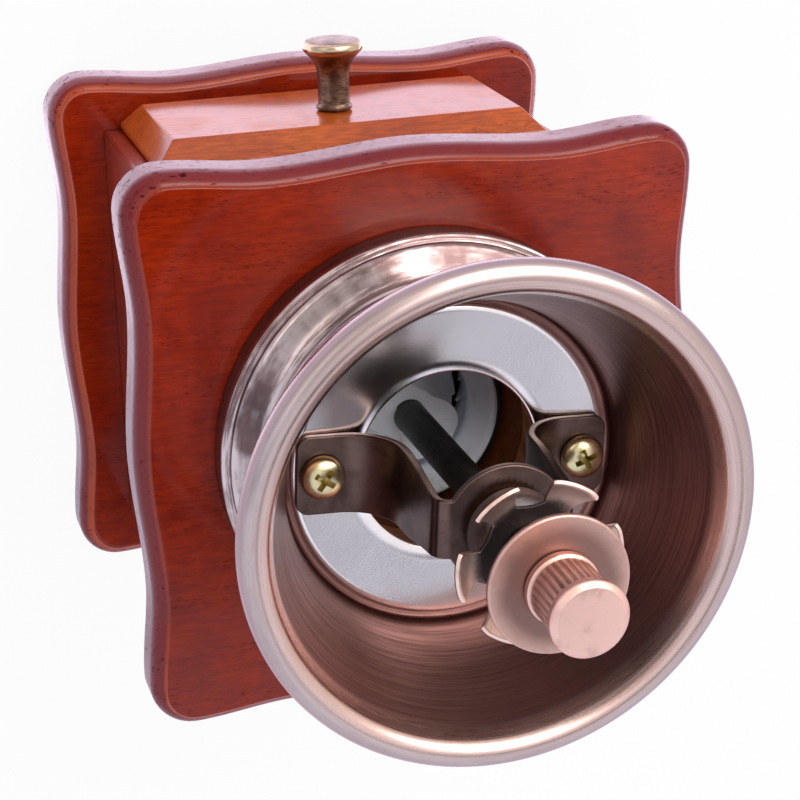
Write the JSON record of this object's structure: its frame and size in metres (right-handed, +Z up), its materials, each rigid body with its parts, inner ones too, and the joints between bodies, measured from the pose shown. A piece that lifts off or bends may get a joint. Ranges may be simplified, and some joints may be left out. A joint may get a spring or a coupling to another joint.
{
  "type": "manual coffee grinder",
  "caption": "Wooden box coffee mill with wavy boards, an open copper bowl over a bridge bracket, a star-shaped grind adjuster and a drawer with a turned knob.",
  "frame": {"origin": "middle of the felt's lower face, on the spindle's axis", "axes": "+Z up along the spindle, -Y the way the drawer opens, +X to the right seen from the drawer's side"},
  "size_m": [0.1106, 0.1199, 0.181],
  "materials": {
    "stained_wood": "red-brown stain under clear varnish",
    "plain_wood": "unstained, sanded",
    "dark_felt": "felt",
    "antique_copper": "antique copper plate, brushed round the axis",
    "brushed_copper": "light matt copper plate",
    "satin_nickel": "satin nickel",
    "steel": "plain steel",
    "blackened_steel": "blackened",
    "yellow_zinc": "yellow zinc plate",
    "antique_brass": "antique brass plate",
    "bronze": "bearing bronze",
    "white_ceramic": "glazed ceramic",
    "black_plastic": "moulded, satin"
  },
  "bodies": {
    "case": {"base_felt": "dark_felt", "base_board": "stained_wood", "top_board": "stained_wood", "box_side_left": "stained_wood", "box_side_right": "stained_wood", "box_back": "stained_wood", "box_front_rail": "stained_wood", "base_screw_1": "steel", "base_screw_2": "steel", "base_screw_3": "steel", "base_screw_4": "steel", "hopper_bowl": "antique_copper", "hopper_riser": "plain_wood", "hopper_plate": "satin_nickel", "bridge_bracket": "antique_copper", "bracket_screw_left": "yellow_zinc", "bracket_screw_right": "yellow_zinc", "spindle_bush": "bronze", "ring_burr": "white_ceramic", "burr_holder": "black_plastic", "holder_screw_1": "steel", "holder_screw_2": "steel", "holder_screw_3": "steel"},
    "drawer": {"drawer_front": "stained_wood", "drawer_side_left": "plain_wood", "drawer_side_right": "plain_wood", "drawer_back": "plain_wood", "drawer_bottom": "plain_wood", "drawer_knob": "antique_brass", "knob_screw": "steel"},
    "drive": {"drive_collar": "steel"},
    "cog": {"cog_hub": "steel", "cog_wheel": "brushed_copper"},
    "spindle_group": {"spindle": "blackened_steel", "inner_burr": "white_ceramic", "burr_washer": "steel", "burr_nut": "steel"},
    "washer": {"crank_washer": "brushed_copper"},
    "nut": {"thumb_nut": "brushed_copper"}
  },
  "joints": [
    {"name": "drawer_slide", "type": "slide", "parent": "case", "child": "drawer", "axis": [0, -1, 0], "range_m": [0, 0.07]},
    {"name": "crank_turn", "type": "hinge", "parent": "case", "child": "drive", "pos_m": [0, 0, 0.1438], "axis": [0, 0, 1], "continuous": true},
    {"name": "grind_adjust", "type": "hinge", "parent": "drive", "child": "cog", "pos_m": [0, 0, 0.154], "axis": [0, 0, 1], "range_deg": [-370, 550]},
    {"name": "spindle_lift", "type": "slide", "parent": "drive", "child": "spindle_group", "axis": [0, 0, 1], "range_m": [-0.0015, 0.001]},
    {"name": "washer_lift", "type": "slide", "parent": "spindle_group", "child": "washer", "axis": [0, 0, 1], "range_m": [0, 0.0112]},
    {"name": "nut_turn", "type": "hinge", "parent": "washer", "child": "nut", "pos_m": [0, 0, 0.167], "axis": [0, 0, 1], "range_deg": [-20, 5060]}
  ],
  "couplings": [
    {"joint": "grind_adjust", "follows": "spindle_lift", "rad_per_m": -6283.2},
    {"joint": "nut_turn", "follows": "washer_lift", "rad_per_m": 7854}
  ]
}
